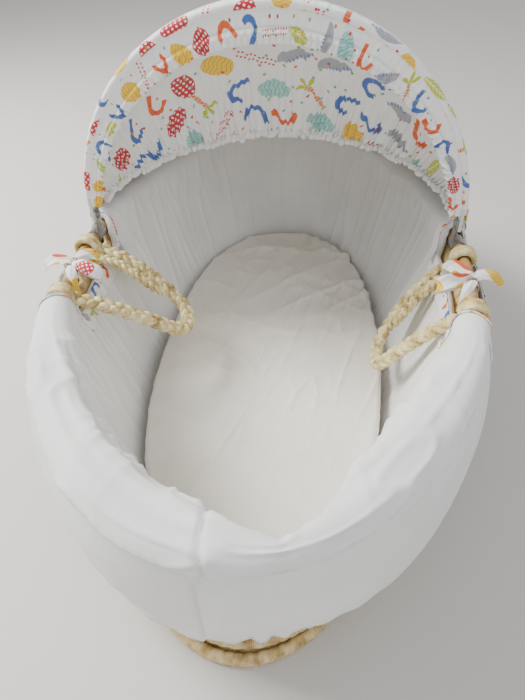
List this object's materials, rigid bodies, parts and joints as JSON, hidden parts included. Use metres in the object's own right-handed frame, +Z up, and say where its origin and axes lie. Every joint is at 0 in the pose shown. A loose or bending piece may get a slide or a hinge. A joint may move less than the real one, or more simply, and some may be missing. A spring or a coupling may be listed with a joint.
{
  "type": "moses basket",
  "caption": "Woven oval carrying crib with padded cloth liner, mattress, fold-back cloth hood on a flat bow and two plaited rope handles.",
  "frame": {"origin": "middle of the woven base's underside, on the surface that the basket stands on", "axes": "+Z up, +Y towards the head end, +X across"},
  "size_m": [0.56, 0.8412, 0.4975],
  "materials": {
    "maize_husk": "dry twisted maize husk, matt",
    "husk_plait": "plaited maize husk, slight sheen",
    "cane": "peeled cane, satin",
    "willow_stake": "peeled willow, matt",
    "foam": "polyurethane foam",
    "ivory_sheet": "washed cotton jersey, matt",
    "elastic": "covered elastic",
    "white_cotton": "padded plain cotton, matt",
    "zinc_steel": "zinc-plated strip",
    "flat_plastic_strip": "moulded flat strip",
    "printed_cotton": "white cotton printed with leaves, ovals, hooks and dots"
  },
  "bodies": {
    "basket": {"woven_base": "maize_husk", "husk_row_1": "maize_husk", "husk_row_2": "maize_husk", "husk_row_3": "maize_husk", "woven_wall": "maize_husk", "wall_stakes": "willow_stake", "rim_rod": "cane", "mattress_core": "foam", "fitted_sheet": "ivory_sheet", "sheet_elastic": "elastic", "liner_floor": "white_cotton", "liner_inner_wall": "white_cotton", "rim_roll_head": "white_cotton", "rim_roll_foot": "white_cotton", "liner_skirt": "white_cotton", "skirt_elastic": "elastic", "left_slot_facing_inner": "printed_cotton", "left_slot_facing_outer": "printed_cotton", "right_slot_facing_inner": "printed_cotton", "right_slot_facing_outer": "printed_cotton", "left_hood_bracket": "zinc_steel", "right_hood_bracket": "zinc_steel", "left_pivot_rivet": "zinc_steel", "right_pivot_rivet": "zinc_steel", "left_hood_tie": "printed_cotton", "right_hood_tie": "printed_cotton", "hood_cover": "printed_cotton", "hood_rear_band": "printed_cotton", "hood_lining": "printed_cotton", "hood_lining_elastic": "elastic", "hood_rear_elastic": "elastic"},
    "hood_frame": {"hood_bow": "flat_plastic_strip", "hood_sleeve": "printed_cotton", "hood_valance": "printed_cotton"},
    "left_handle": {"left_handle_plait": "husk_plait", "left_handle_return_plait": "husk_plait", "left_handle_head_lashing": "husk_plait", "left_handle_foot_lashing": "husk_plait"},
    "right_handle": {"right_handle_plait": "husk_plait", "right_handle_return_plait": "husk_plait", "right_handle_head_lashing": "husk_plait", "right_handle_foot_lashing": "husk_plait"}
  },
  "joints": [
    {"name": "hood_fold", "type": "hinge", "parent": "basket", "child": "hood_frame", "pos_m": [0, 0.045, 0.252], "axis": [-1, 0, 0], "range_deg": [0, 75], "deforming": ["hood_cover", "hood_lining", "hood_lining_elastic"]},
    {"name": "left_handle_swing", "type": "hinge", "parent": "basket", "child": "left_handle", "pos_m": [-0.24207, -0.045, 0.222], "axis": [0.0684, -0.9977, 0], "range_deg": [0, 200]},
    {"name": "right_handle_swing", "type": "hinge", "parent": "basket", "child": "right_handle", "pos_m": [0.24207, -0.045, 0.222], "axis": [0.0684, 0.9977, 0], "range_deg": [0, 222]}
  ]
}
